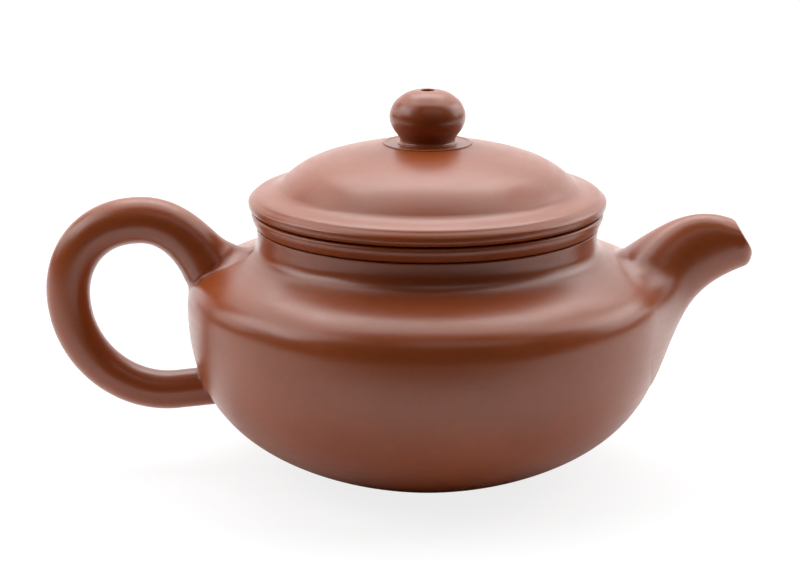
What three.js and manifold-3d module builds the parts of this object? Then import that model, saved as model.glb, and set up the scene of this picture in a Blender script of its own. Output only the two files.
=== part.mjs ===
// Slab-built red clay teapot with a domed press lid, a ball strainer, a side handle and a spout.
// Millimetres, +Z up. The origin is on the pot's axis at the surface that the foot stands on.
// The spout points along +X and the handle along -X.
import * as THREE from 'three';
import * as BufferGeometryUtils from 'three/addons/utils/BufferGeometryUtils.js';
import Module from 'manifold-3d';

const wasm = await Module();
wasm.setup();

// Clearances
const slip = 0.3;              // thickness of the slip between two luted pieces
const lidSeatGap = 0.3;        // between the top of the mouth and the underside of the lid
const flangeClearance = 0.5;   // between the lid's flange and the mouth, all round

// Foot and base
const footOuterRadius = 22.6;
const footRingWidth = 3.1;
const footHeight = 2;
const baseRecess = 0.6;        // how far the base lies above the standing surface
const baseThickness = 3;

// Belly
const bellyRadius = 51.15;
const bellyWidestHeight = 35.8;
const bellyStartAngle = 18.7;  // degrees above the table where the belly leaves the foot
const bellyStartPull = 23.2;   // how long the belly keeps that direction
const bellySidePull = 17.4;    // how long the side stays upright below the widest line
const wall = 2.8;

// Shoulder, neck and mouth
const shoulderRise = 9.95;     // from the widest line to the edge of the closing disc
const shoulderSidePull = 6.5;
const shoulderSlope = 23;      // degrees, where the wall meets the closing disc
const shoulderTopPull = 6;
const coveWidth = 3.6;         // closing disc's edge to the neck
const coveRise = 4.1;
const coveOuterPull = 3;
const coveInnerPull = 1.7;
const discThickness = 3.3;     // of the closing disc at the mouth
const mouthRadius = 31;
const neckWall = 5.05;
const neckHeight = 2.7;
const neckFlare = 0.25;        // top of the neck beyond its foot
const lipHeight = 3;
const lipOverhang = 1.25;      // top of the mouth line beyond the neck's foot
const lipFootOverhang = 0.6;   // bottom of the mouth line beyond the neck's foot
const lipEdgeRound = 0.5;
const lipBulge = 0.3;          // middle of the mouth line beyond a straight taper

// Lid
const lidOverhang = 0.6;       // lid's edge beyond the mouth line
const rimHeight = 3.3;
const rimWidestHeight = 1.55;  // above the underside of the rim
const rimUnderRound = 0.8;     // how far the rim draws in below its widest line
const rimTopRound = 1.3;       // how far the rim draws in above its widest line
const rimLedge = 4.5;          // lid's edge to the foot of the dome
const rimSeatDepth = 0.35;     // how far the dome's seat lies below the top of the rim
const rimWidth = 10.5;         // clay ring from the lid's edge inwards
const domeRise = 10.4;         // top of the rim to the top of the dome
const domeFootAngle = 45;
const domeFootPull = 9.2;
const domeTopAngle = 12;
const domeTopPull = 16;
const domeThickness = 3;
const flangeDepth = 7.6;
const flangeThickness = 2.8;
const flangeTaper = 0.5;       // how much the flange narrows towards its lower edge

// Knob
const collarRadius = 9.3;
const collarThickness = 1.1;
const collarStand = 0.2;       // how far the collar stands above the dome's top
const knobRadius = 8.05;
const knobHalfHeight = 5.75;
const knobFootRadius = 5.8;
const knobFootHeight = 1.2;    // how far the ball is lifted off the collar by its foot
const steamHoleRadius = 1.15;
const steamMouthRadius = 1.7;
const steamMouthDepth = 1.2;

// Handle, along its middle line seen from the side
const handleRootSet = 7.2;     // upper root's middle outside the closing disc's edge
const handleRootRise = 8.15;   // this and the other rises and drops are from the widest line
const handleRootAngle = 126.5; // degrees from +X, the way it leaves the shoulder
const handleRootPull = 5.7;
const handleTopRise = 17.45;
const handleTopReach = 9.7;
const handleTopInnerPull = 6.5;
const handleTopOuterPull = 10.9;
const handleReach = 25.7;      // belly's side to the handle's outermost middle point
const handleReachRise = 1.6;
const handleUpperPull = 7.7;
const handleLowerPull = 13.2;
const handleLowDrop = 20;
const handleLowReach = 2.8;
const handleLowPull = 12;
const handleLowRise = 6.3;     // degrees, the way it runs up into the belly's side
const handleTopThickness = 9.9;
const handleLowThickness = 8.3;
const handleThinStart = 0.25;  // shares of its length between which it grows thinner
const handleThinEnd = 0.9;
const handleFlare = 3.1;       // extra thickness at the upper root
const handleFlareLength = 4.4;
const handleBury = 7;          // how far each end runs into the wall before it is cut to it

// Spout, by its upper and lower edges seen from the side
const spoutReach = 18.1;       // belly's side to the front of the lip
const spoutLipRise = 11.05;    // above the widest line
const spoutMouth = 7.5;        // length of the cut mouth
const spoutMouthLean = 59;     // degrees of the cut from the table
const spoutLipRound = 3.6;     // height of the rounded lip below the mouth
const spoutLipSetback = 1.75;
const spoutRootDrop = 16.8;    // below the widest line
const spoutUnderAngle = 56;
const spoutUnderPull = 12.8;
const spoutTipAngle = 21.4;
const spoutTipPull = 15.5;
const spoutRootSet = 2.8;      // upper root outside the closing disc's edge
const spoutRootStand = 1.05;   // upper root above the closing disc's edge
const spoutTopAngle = 37.2;
const spoutTopPull = 9.5;
const spoutBrowAngle = 22;
const spoutBrowPull = 9.6;
const spoutNeckShare = 0.86;   // share of the upper edge that lies behind the rounded lip
const spoutRootWidth = 25;
const spoutTipWidth = 9.8;
const spoutMouthWidth = 8.6;
const spoutRootWall = 3;
const spoutTipWall = 0.85;
const spoutBury = 8;

// Strainer, a perforated dome in a round hole of the wall behind the spout
const strainerDrop = 3.3;      // middle of the hole below the widest line
const strainerRadius = 8.2;
const strainerDepth = 6;
const strainerWall = 1.6;
const strainerHoleRadius = 0.8;
const strainerRows = 2;        // rows of holes round the middle one
const strainerRowHoles = 6;    // holes added with each row
const strainerSpread = 54;     // degrees from the middle hole to the outermost row
const strainerHoleSides = 6;
const strainerArcSteps = 5;

// Steps of the faceted surfaces
const aroundSteps = 48;
const knobSteps = 32;
const knobBallSteps = 10;
const strainerSteps = 24;
const bellySteps = 12;
const shoulderSteps = 5;
const coveSteps = 5;
const domeSteps = 8;
const roundSteps = 3;
const leastRise = 0.3;         // smallest height between two rings of one outline
const handleSides = 16;
const handleSteps = 34;
const spoutSides = 20;
const spoutSteps = 16;
const lipSteps = 4;

const clay = { color: 0x8c4a38, roughness: 0.42, metalness: 0 };
const paleClay = { color: 0x9a5a48, roughness: 0.6, metalness: 0 };

// Places that several pieces share
const footInnerRadius = footOuterRadius - footRingWidth;
const baseRadius = footInnerRadius - slip;
const floorHeight = baseRecess + baseThickness;
const neckRadius = mouthRadius + neckWall;
const neckTopRadius = neckRadius + neckFlare;
const discRadius = neckRadius + coveWidth;
const discEdgeHeight = bellyWidestHeight + shoulderRise;
const discTop = discEdgeHeight + coveRise;
const neckTop = discTop + neckHeight;
const mouthTop = neckTop + slip + lipHeight;
const lipRadius = neckRadius + lipOverhang;
const lidUnderside = mouthTop + lidSeatGap;
const lidRadius = lipRadius + lidOverhang;
const rimTop = lidUnderside + rimHeight;
const domeFootRadius = lidRadius - rimLedge;
const domeSeat = rimTop - rimSeatDepth;
const domeFoot = domeSeat + slip;
const domeTop = rimTop + domeRise;
const collarTop = domeTop + collarStand;
const knobFoot = collarTop + slip;
const knobSink = knobHalfHeight * Math.sqrt(1 - (knobFootRadius / knobRadius) ** 2);
const knobMiddle = knobFoot + knobFootHeight + knobSink;
const knobTop = knobMiddle + knobHalfHeight;
const strainerHeight = bellyWidestHeight - strainerDrop;
const handleLowHeight = bellyWidestHeight - handleLowDrop;

const radians = (degrees) => THREE.MathUtils.degToRad(degrees);
const point = (x, y) => new THREE.Vector2(x, y);
const along = (start, degrees, length) => point(
  start.x + length * Math.cos(radians(degrees)),
  start.y + length * Math.sin(radians(degrees)),
);

// Curves of the pot's outside, from the foot to the neck, as radius and height
const footEdge = point(footOuterRadius, 0);
const bellySide = point(bellyRadius, bellyWidestHeight);
const discEdge = point(discRadius, discEdgeHeight);
const neckFoot = point(neckRadius, discTop);
const bellyCurve = new THREE.CubicBezierCurve(
  footEdge,
  along(footEdge, bellyStartAngle, bellyStartPull),
  point(bellyRadius, bellyWidestHeight - bellySidePull),
  bellySide,
);
const shoulderCurve = new THREE.CubicBezierCurve(
  bellySide,
  point(bellyRadius, bellyWidestHeight + shoulderSidePull),
  along(discEdge, -shoulderSlope, shoulderTopPull),
  discEdge,
);
const coveCurve = new THREE.CubicBezierCurve(
  discEdge,
  along(discEdge, 180 - shoulderSlope, coveOuterPull),
  point(neckRadius, discTop - coveInnerPull),
  neckFoot,
);

// A line moved sideways by a distance, to the left of the way it runs
function offsetLine(points, distance) {
  return points.map((here, i) => {
    const before = points[Math.max(i - 1, 0)];
    const after = points[Math.min(i + 1, points.length - 1)];
    const direction = after.clone().sub(before).normalize();
    return point(here.x - direction.y * distance, here.y + direction.x * distance);
  });
}

// Part of an ellipse round a centre, from one angle to another
function arc(centre, radiusX, radiusY, fromDegrees, toDegrees, steps) {
  const points = [];
  for (let i = 0; i <= steps; i += 1) {
    const angle = radians(fromDegrees + ((toDegrees - fromDegrees) * i) / steps);
    points.push(point(centre.x + radiusX * Math.cos(angle), centre.y + radiusY * Math.sin(angle)));
  }
  return points;
}

// A solid of revolution about Z. The outline runs anticlockwise, as radius and height.
function turned(outline, steps = aroundSteps) {
  const closesOnAxis = outline[0].x === 0 && outline[outline.length - 1].x === 0;
  const points = closesOnAxis ? outline : [...outline, outline[0]];
  return new THREE.LatheGeometry(points, steps).rotateX(Math.PI / 2);
}

function toSolid(geometry) {
  const bare = geometry.clone();
  bare.deleteAttribute('normal');
  bare.deleteAttribute('uv');
  const merged = BufferGeometryUtils.mergeVertices(bare, 1e-4);
  return new wasm.Manifold(new wasm.Mesh({
    numProp: 3,
    vertProperties: new Float32Array(merged.attributes.position.array),
    triVerts: new Uint32Array(merged.index.array),
  }));
}

function toGeometry(solid) {
  const mesh = solid.getMesh();
  const geometry = new THREE.BufferGeometry();
  geometry.setAttribute('position', new THREE.BufferAttribute(mesh.vertProperties, 3));
  geometry.setIndex(new THREE.BufferAttribute(mesh.triVerts, 1));
  geometry.computeVertexNormals();
  return geometry;
}

const cut = (geometry, tool) => toGeometry(toSolid(geometry).subtract(toSolid(tool)));
const trim = (geometry, tool) => toGeometry(toSolid(geometry).intersect(toSolid(tool)));

// A tube through a row of rings. With inner rings it is hollow and open at both ends.
function tube(rings, innerRings = null) {
  const sides = rings[0].length;
  const positions = [];
  const indices = [];
  const addRings = (list, inwards) => {
    const first = positions.length / 3;
    list.flat().forEach((p) => positions.push(p.x, p.y, p.z));
    for (let i = 0; i < list.length - 1; i += 1) {
      for (let j = 0; j < sides; j += 1) {
        const a = first + i * sides + j;
        const b = first + i * sides + ((j + 1) % sides);
        const c = b + sides;
        const d = a + sides;
        indices.push(...(inwards ? [a, c, b, a, d, c] : [a, b, c, a, c, d]));
      }
    }
    return first;
  };
  const outer = addRings(rings, false);
  const outerEnd = outer + (rings.length - 1) * sides;
  if (innerRings) {
    const inner = addRings(innerRings, true);
    const innerEnd = inner + (innerRings.length - 1) * sides;
    for (let j = 0; j < sides; j += 1) {
      const k = (j + 1) % sides;
      indices.push(outer + k, outer + j, inner + j, outer + k, inner + j, inner + k);
      indices.push(outerEnd + j, outerEnd + k, innerEnd + k, outerEnd + j, innerEnd + k, innerEnd + j);
    }
  } else {
    for (let j = 1; j < sides - 1; j += 1) {
      indices.push(outer, outer + j + 1, outer + j);
      indices.push(outerEnd, outerEnd + j, outerEnd + j + 1);
    }
  }
  const geometry = new THREE.BufferGeometry();
  geometry.setAttribute('position', new THREE.Float32BufferAttribute(positions, 3));
  geometry.setIndex(indices);
  geometry.computeVertexNormals();
  return geometry;
}

// An upright ellipse between two points of the X-Z plane, left and right of the way a tube runs
function ring(left, right, width, sides, inset = 0) {
  const middle = left.clone().add(right).multiplyScalar(0.5);
  const half = right.clone().sub(left).multiplyScalar(0.5);
  const scale = 1 - inset / half.length();
  const points = [];
  for (let j = 0; j < sides; j += 1) {
    const angle = (2 * Math.PI * j) / sides;
    const rise = Math.cos(angle) * scale;
    const side = Math.sin(angle) * (width / 2 - inset);
    points.push(new THREE.Vector3(middle.x + half.x * rise, side, middle.y + half.y * rise));
  }
  return points;
}

// The pot's outside as one full solid, grown by a thickness
function fullBody(growth) {
  const outside = [
    ...bellyCurve.getPoints(bellySteps),
    ...shoulderCurve.getPoints(shoulderSteps).slice(1),
    ...coveCurve.getPoints(coveSteps).slice(1),
  ];
  const grown = offsetLine(outside, -growth);
  return turned([point(0, -growth), ...grown, point(neckRadius + growth, mouthTop), point(0, mouthTop)]);
}

function baseDisc() {
  return turned([
    point(0, baseRecess),
    point(baseRadius, baseRecess),
    point(baseRadius, floorHeight),
    point(0, floorHeight),
  ]);
}

// Part of the belly's curve that lies between two heights
function bellyBetween(low, high, steps) {
  const inside = bellyCurve.getPoints(steps).filter((p) => p.y > low + leastRise && p.y < high - leastRise);
  return [bellyAt(low), ...inside, bellyAt(high)];
}

function bellyAt(height) {
  let low = 0;
  let high = 1;
  for (let i = 0; i < 40; i += 1) {
    const middle = (low + high) / 2;
    if (bellyCurve.getPoint(middle).y < height) {
      low = middle;
    } else {
      high = middle;
    }
  }
  return bellyCurve.getPoint(low);
}

function footRing() {
  return turned([
    point(footInnerRadius, 0),
    ...bellyBetween(0, footHeight, bellySteps),
    point(footInnerRadius, footHeight),
  ]);
}

function bellyWall() {
  const wallFoot = footHeight + slip;
  const outside = [
    ...bellyBetween(wallFoot, bellyWidestHeight, bellySteps),
    ...shoulderCurve.getPoints(shoulderSteps).slice(1),
  ];
  const everyOther = outside.filter((p, i) => i % 2 === outside.length % 2 || i === outside.length - 1);
  const inside = offsetLine(everyOther, wall).filter((p) => p.y > floorHeight + leastRise);
  const blank = turned([
    point(footInnerRadius, wallFoot),
    ...outside,
    ...inside.reverse(),
    point(footInnerRadius, floorHeight),
  ]);
  const holeRadius = strainerRadius + slip;
  const holeLength = 2 * (wall + strainerDepth);
  const hole = new THREE.CylinderGeometry(holeRadius, holeRadius, holeLength, strainerSteps)
    .rotateZ(Math.PI / 2)
    .translate(bellyRadius - wall / 2, 0, strainerHeight);
  return cut(blank, hole);
}

function closingDisc() {
  const top = coveCurve.getPoints(coveSteps);
  const edge = along(discEdge, 180 - shoulderSlope, slip);
  const lowEdge = point(
    edge.x - wall * Math.sin(radians(shoulderSlope)),
    edge.y - wall * Math.cos(radians(shoulderSlope)),
  );
  return turned([
    point(mouthRadius, discTop - discThickness),
    lowEdge,
    edge,
    ...top.slice(1),
    point(mouthRadius, discTop),
  ]);
}

function neckRing() {
  return turned([
    point(mouthRadius, discTop + slip),
    point(neckRadius, discTop + slip),
    point(neckTopRadius, neckTop),
    point(mouthRadius, neckTop),
  ]);
}

function mouthLine() {
  const foot = neckTop + slip;
  const footRadius = neckRadius + lipFootOverhang;
  const lowRound = point(footRadius - lipEdgeRound, foot + lipEdgeRound);
  const highRound = point(lipRadius - lipEdgeRound, mouthTop - lipEdgeRound);
  return turned([
    point(mouthRadius, foot),
    ...arc(lowRound, lipEdgeRound, lipEdgeRound, -90, 0, roundSteps),
    point((footRadius + lipRadius) / 2 + lipBulge, (foot + mouthTop) / 2),
    ...arc(highRound, lipEdgeRound, lipEdgeRound, 0, 90, roundSteps),
    point(mouthRadius, mouthTop),
  ]);
}

function lidRim() {
  const widest = lidUnderside + rimWidestHeight;
  return turned([
    point(lidRadius - rimWidth, lidUnderside),
    ...arc(point(lidRadius - rimUnderRound, widest), rimUnderRound, rimWidestHeight, -90, 0, roundSteps),
    ...arc(point(lidRadius - rimTopRound, widest), rimTopRound, rimTop - widest, 0, 90, roundSteps).slice(1),
    point(domeFootRadius + slip, domeSeat),
    point(lidRadius - rimWidth, domeSeat),
  ]);
}

function lidDome() {
  const foot = point(domeFootRadius, domeFoot);
  const top = point(collarRadius + slip, domeTop);
  const curve = new THREE.CubicBezierCurve(
    foot,
    along(foot, 180 - domeFootAngle, domeFootPull),
    along(top, -domeTopAngle, domeTopPull),
    top,
  );
  const outside = curve.getPoints(domeSteps);
  const collarSeat = collarTop - collarThickness - slip;
  const inside = offsetLine(curve.getPoints(domeSteps / 2), domeThickness)
    .filter((p) => p.y > domeFoot + leastRise);
  const crown = point(steamHoleRadius, collarSeat - domeThickness + slip);
  return turned([
    point(domeFootRadius - domeThickness / Math.sin(radians(domeFootAngle)), domeFoot),
    ...outside,
    point(collarRadius + slip, collarSeat),
    point(steamHoleRadius, collarSeat),
    crown,
    ...inside.reverse(),
  ]);
}

function lidFlange() {
  const top = lidUnderside - slip;
  const outer = mouthRadius - flangeClearance;
  const foot = top - flangeDepth;
  return turned([
    point(outer - flangeThickness, foot),
    point(outer - flangeTaper, foot),
    point(outer, top),
    point(outer - flangeThickness, top),
  ]);
}

function knobCollar() {
  return turned([
    point(steamHoleRadius, collarTop - collarThickness),
    point(collarRadius, collarTop - collarThickness),
    point(collarRadius, collarTop),
    point(steamHoleRadius, collarTop),
  ], knobSteps);
}

function knob() {
  const ballStart = -THREE.MathUtils.radToDeg(Math.acos(knobFootRadius / knobRadius));
  const ballEnd = THREE.MathUtils.radToDeg(Math.acos(steamMouthRadius / knobRadius));
  const ball = arc(point(0, knobMiddle), knobRadius, knobHalfHeight, ballStart, ballEnd, knobBallSteps);
  return turned([
    point(steamHoleRadius, knobFoot),
    point(knobFootRadius, knobFoot),
    ...ball,
    point(steamHoleRadius, knobTop - steamMouthDepth),
  ], knobSteps);
}

// The flattened half ball with its short collar, turned so that it bulges along -X into the pot
function ballStrainer() {
  const collar = wall;
  const innerRadius = strainerRadius - strainerWall;
  const inner = arc(point(0, collar), innerRadius, strainerDepth - strainerWall, 90, 0, strainerArcSteps);
  const outer = arc(point(0, collar), strainerRadius, strainerDepth, 0, 90, strainerArcSteps);
  inner[0].x = 0;
  outer[outer.length - 1].x = 0;
  const shell = turned([...inner, point(innerRadius, 0), point(strainerRadius, 0), ...outer], strainerSteps);
  const drillLength = 4 * strainerWall;
  const radius = strainerHoleRadius;
  const drill = new THREE.CylinderGeometry(radius, radius, drillLength, strainerHoleSides)
    .rotateX(Math.PI / 2);
  const middleRadius = strainerRadius - strainerWall / 2;
  const middleDepth = strainerDepth - strainerWall / 2;
  let solid = toSolid(shell);
  for (let row = 0; row <= strainerRows; row += 1) {
    const count = Math.max(1, row * strainerRowHoles);
    const lean = radians((row * strainerSpread) / strainerRows);
    const away = Math.sin(lean) * middleRadius;
    const depth = collar + Math.cos(lean) * middleDepth;
    for (let i = 0; i < count; i += 1) {
      const turn = (2 * Math.PI * i) / count;
      const hole = drill.clone()
        .rotateY(lean)
        .rotateZ(turn)
        .translate(away * Math.cos(turn), away * Math.sin(turn), depth);
      solid = solid.subtract(toSolid(hole));
    }
  }
  const placed = toGeometry(solid).rotateY(-Math.PI / 2).translate(bellyRadius, 0, strainerHeight);
  return trim(placed, fullBody(0));
}

function handleLine() {
  const root = point(-discRadius - handleRootSet, bellyWidestHeight + handleRootRise);
  const top = point(-bellyRadius - handleTopReach, bellyWidestHeight + handleTopRise);
  const outermost = point(-bellyRadius - handleReach, bellyWidestHeight + handleReachRise);
  const low = point(-bellyRadius - handleLowReach, handleLowHeight);
  const line = new THREE.CurvePath();
  line.add(new THREE.LineCurve(along(root, handleRootAngle, -handleBury), root));
  line.add(new THREE.CubicBezierCurve(
    root,
    along(root, handleRootAngle, handleRootPull),
    point(top.x + handleTopInnerPull, top.y),
    top,
  ));
  line.add(new THREE.CubicBezierCurve(
    top,
    point(top.x - handleTopOuterPull, top.y),
    point(outermost.x, outermost.y + handleUpperPull),
    outermost,
  ));
  line.add(new THREE.CubicBezierCurve(
    outermost,
    point(outermost.x, outermost.y - handleLowerPull),
    along(low, handleLowRise, -handleLowPull),
    low,
  ));
  const belly = bellyRadius - handleLowReach - bellyAt(handleLowHeight).x;
  line.add(new THREE.LineCurve(low, along(low, handleLowRise, belly + 2 * handleLowReach + handleBury)));
  return line;
}

function handle() {
  const line = handleLine();
  const length = line.getLength();
  const rings = [];
  for (let i = 0; i <= handleSteps; i += 1) {
    const share = i / handleSteps;
    const middle = line.getPointAt(share);
    const direction = line.getTangentAt(share);
    const beyondRoot = Math.max(share * length - handleBury, 0);
    const flare = handleFlare * Math.exp(-beyondRoot / handleFlareLength);
    const blend = THREE.MathUtils.smoothstep(share, handleThinStart, handleThinEnd);
    const thickness = THREE.MathUtils.lerp(handleTopThickness, handleLowThickness, blend) + flare;
    const across = point(-direction.y, direction.x).multiplyScalar(thickness / 2);
    rings.push(ring(middle.clone().add(across), middle.clone().sub(across), thickness, handleSides));
  }
  return cut(tube(rings), fullBody(slip));
}

function spoutEdges() {
  const lip = point(bellyRadius + spoutReach, bellyWidestHeight + spoutLipRise);
  const brow = along(lip, 180 - spoutMouthLean, spoutMouth);
  const underLip = point(lip.x - spoutLipSetback, lip.y - spoutLipRound);
  const rootLow = bellyAt(bellyWidestHeight - spoutRootDrop);
  const rootHigh = point(discRadius + spoutRootSet, discEdgeHeight + spoutRootStand);
  const under = new THREE.CubicBezierCurve(
    rootLow,
    along(rootLow, spoutUnderAngle, spoutUnderPull),
    along(underLip, spoutTipAngle, -spoutTipPull),
    underLip,
  );
  const lipTurn = along(underLip, spoutTipAngle, spoutLipSetback);
  const lipRound = new THREE.QuadraticBezierCurve(underLip, lipTurn, lip);
  const top = new THREE.CubicBezierCurve(
    rootHigh,
    along(rootHigh, spoutTopAngle, spoutTopPull),
    along(brow, 180 - spoutBrowAngle, spoutBrowPull),
    brow,
  );
  return { under, lipRound, top };
}

function spout() {
  const { under, lipRound, top } = spoutEdges();
  const outer = [];
  const inner = [];
  const addRing = (low, high, width, thickness) => {
    outer.push(ring(high, low, width, spoutSides));
    inner.push(ring(high, low, width, spoutSides, thickness));
  };
  const buried = point(-spoutBury, -spoutBury / 2);
  addRing(under.getPoint(0).add(buried), top.getPoint(0).add(buried), spoutRootWidth, spoutRootWall);
  for (let i = 0; i <= spoutSteps; i += 1) {
    const share = i / spoutSteps;
    const taper = THREE.MathUtils.smoothstep(share, 0, 1);
    const width = THREE.MathUtils.lerp(spoutRootWidth, spoutTipWidth, taper);
    const thickness = THREE.MathUtils.lerp(spoutRootWall, spoutTipWall, share);
    addRing(under.getPoint(share), top.getPoint(share * spoutNeckShare), width, thickness);
  }
  for (let i = 1; i <= lipSteps; i += 1) {
    const share = i / lipSteps;
    const width = THREE.MathUtils.lerp(spoutTipWidth, spoutMouthWidth, share ** 2);
    const high = top.getPoint(spoutNeckShare + share * (1 - spoutNeckShare));
    addRing(lipRound.getPoint(share), high, width, spoutTipWall);
  }
  return cut(tube(outer, inner), fullBody(slip));
}

const pot = new THREE.Group();
const lid = new THREE.Group();

function addPiece(group, name, geometry, finish) {
  const mesh = new THREE.Mesh(geometry, new THREE.MeshStandardMaterial(finish));
  mesh.name = name;
  group.add(mesh);
}

addPiece(pot, 'base_disc', baseDisc(), paleClay);
addPiece(pot, 'foot_ring', footRing(), clay);
addPiece(pot, 'belly_wall', bellyWall(), clay);
addPiece(pot, 'closing_disc', closingDisc(), clay);
addPiece(pot, 'neck_ring', neckRing(), clay);
addPiece(pot, 'mouth_line', mouthLine(), clay);
addPiece(pot, 'ball_strainer', ballStrainer(), paleClay);
addPiece(pot, 'spout', spout(), clay);
addPiece(pot, 'handle', handle(), clay);
addPiece(lid, 'lid_rim', lidRim(), clay);
addPiece(lid, 'lid_dome', lidDome(), clay);
addPiece(lid, 'lid_flange', lidFlange(), paleClay);
addPiece(lid, 'knob_collar', knobCollar(), clay);
addPiece(lid, 'knob', knob(), clay);

const teapot = new THREE.Group();
teapot.add(pot, lid);

export default teapot;
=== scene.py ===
import bpy
import math
import numpy as np
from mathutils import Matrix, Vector


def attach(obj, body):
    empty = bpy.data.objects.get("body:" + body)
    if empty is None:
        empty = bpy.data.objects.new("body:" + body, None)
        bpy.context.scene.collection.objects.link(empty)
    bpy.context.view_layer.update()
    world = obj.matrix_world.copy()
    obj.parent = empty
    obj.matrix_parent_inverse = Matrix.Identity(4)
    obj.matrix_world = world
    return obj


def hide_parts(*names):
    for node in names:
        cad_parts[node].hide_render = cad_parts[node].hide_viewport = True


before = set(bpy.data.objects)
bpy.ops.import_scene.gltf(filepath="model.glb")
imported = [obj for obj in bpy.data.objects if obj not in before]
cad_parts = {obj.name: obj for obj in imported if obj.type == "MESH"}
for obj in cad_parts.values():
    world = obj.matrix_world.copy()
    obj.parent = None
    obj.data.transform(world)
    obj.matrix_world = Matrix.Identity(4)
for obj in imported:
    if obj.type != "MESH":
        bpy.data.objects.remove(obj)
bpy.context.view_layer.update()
scene = bpy.context.scene
scene.view_settings.view_transform = "Standard"
mm = 0.001
print("frame loaded:", len(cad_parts), "nodes")


# Plane curves in millimetres, as radius (or x) and height

def ahead(start, degrees, length):
    turn = math.radians(degrees)
    return (start[0] + length * math.cos(turn), start[1] + length * math.sin(turn))


def bezier(first, firstPull, lastPull, last, steps):
    t = np.linspace(0, 1, steps + 1)[:, None]
    a, b, c, d = (np.array(p, float) for p in (first, firstPull, lastPull, last))
    return (1 - t) ** 3 * a + 3 * (1 - t) ** 2 * t * b + 3 * (1 - t) * t * t * c + t ** 3 * d


def rounded(centre, radiusX, radiusZ, fromDegrees, toDegrees, steps=8):
    turn = np.radians(np.linspace(fromDegrees, toDegrees, steps + 1))
    return np.stack([centre[0] + radiusX * np.cos(turn), centre[1] + radiusZ * np.sin(turn)], 1)


def smoothThrough(points, steps):
    points = np.array(points, float)
    padded = np.vstack([2 * points[0] - points[1], points, 2 * points[-1] - points[-2]])
    out = []
    for i in range(1, len(padded) - 2):
        p0, p1, p2, p3 = padded[i - 1:i + 3]
        t = np.linspace(0, 1, steps + 1)[:-1, None]
        out.append(0.5 * (2 * p1 + (p2 - p0) * t + (2 * p0 - 5 * p1 + 4 * p2 - p3) * t ** 2
                          + (3 * p1 - p0 - 3 * p2 + p3) * t ** 3))
    return np.vstack(out + [points[-1:]])


def sideways(points, distance):
    run = np.gradient(points, axis=0)
    run /= np.linalg.norm(run, axis=1)[:, None]
    return points + np.stack([-run[:, 1], run[:, 0]], 1) * distance


def between(curve, low, high):
    inside = curve[(curve[:, 1] > low + 0.05) & (curve[:, 1] < high - 0.05)]
    ends = [[np.interp(h, curve[:, 1], curve[:, 0]), h] for h in (low, high)]
    return np.vstack([ends[:1], inside, ends[1:]])


def smoothStep(low, high, value):
    t = np.clip((value - low) / (high - low), 0, 1)
    return t * t * (3 - 2 * t)


# Node helpers

def addNode(tree, kind, inputs=None, **settings):
    made = tree.nodes.new(kind)
    for name, value in settings.items():
        setattr(made, name, value)
    for name, value in (inputs or {}).items():
        if isinstance(value, bpy.types.NodeSocket):
            tree.links.new(value, made.inputs[name])
        else:
            made.inputs[name].default_value = value
    return made


def calculate(tree, operation, first, second=0.0):
    return addNode(tree, "ShaderNodeMath", {0: first, 1: second}, operation=operation).outputs[0]


def plus(tree, first, second):
    return calculate(tree, "ADD", first, second)


def minus(tree, first, second):
    return calculate(tree, "SUBTRACT", first, second)


def times(tree, first, second):
    return calculate(tree, "MULTIPLY", first, second)


def over(tree, first, second):
    return calculate(tree, "DIVIDE", first, second)


def treeWithInputs(name, sockets):
    tree = bpy.data.node_groups.new(name, "GeometryNodeTree")
    for socketName, kind in sockets:
        tree.interface.new_socket(socketName, in_out="INPUT", socket_type=kind)
    tree.interface.new_socket("Geometry", in_out="OUTPUT", socket_type="NodeSocketGeometry")
    return tree, tree.nodes.new("NodeGroupInput").outputs, tree.nodes.new("NodeGroupOutput")


# Unglazed red clay

clayLook = {
    "red clay": {
        "dark": (0.250, 0.0465, 0.0055, 1),
        "light": (0.304, 0.0590, 0.0090, 1),
        "grainPale": (0.32, 0.090, 0.035, 1),
        "grainDark": (0.15, 0.028, 0.008, 1),
        "roughness": 0.31,
        "roughnessSpread": 0.05,
        "bump": 0.12,
    },
    "matt clay": {
        "dark": (0.215, 0.050, 0.0200, 1),
        "light": (0.290, 0.075, 0.0320, 1),
        "grainPale": (0.44, 0.150, 0.075, 1),
        "grainDark": (0.13, 0.028, 0.014, 1),
        "roughness": 0.55,
        "roughnessSpread": 0.12,
        "bump": 0.5,
    },
}

clayPattern = {
    "cloudScale": 55,
    "cloudShare": 0.65,
    "mottleScale": 520,
    "mottleShare": 0.35,
    "grainScale": 2600,
    "grainStrength": 0.5,
    "pitScale": 900,
    "strokeScale": 130,
    "strokeFlatness": 9,
    "fineDepth": 0.00004,
    "strokeDepth": 0.00012,
    "refraction": 1.6,
}


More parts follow.
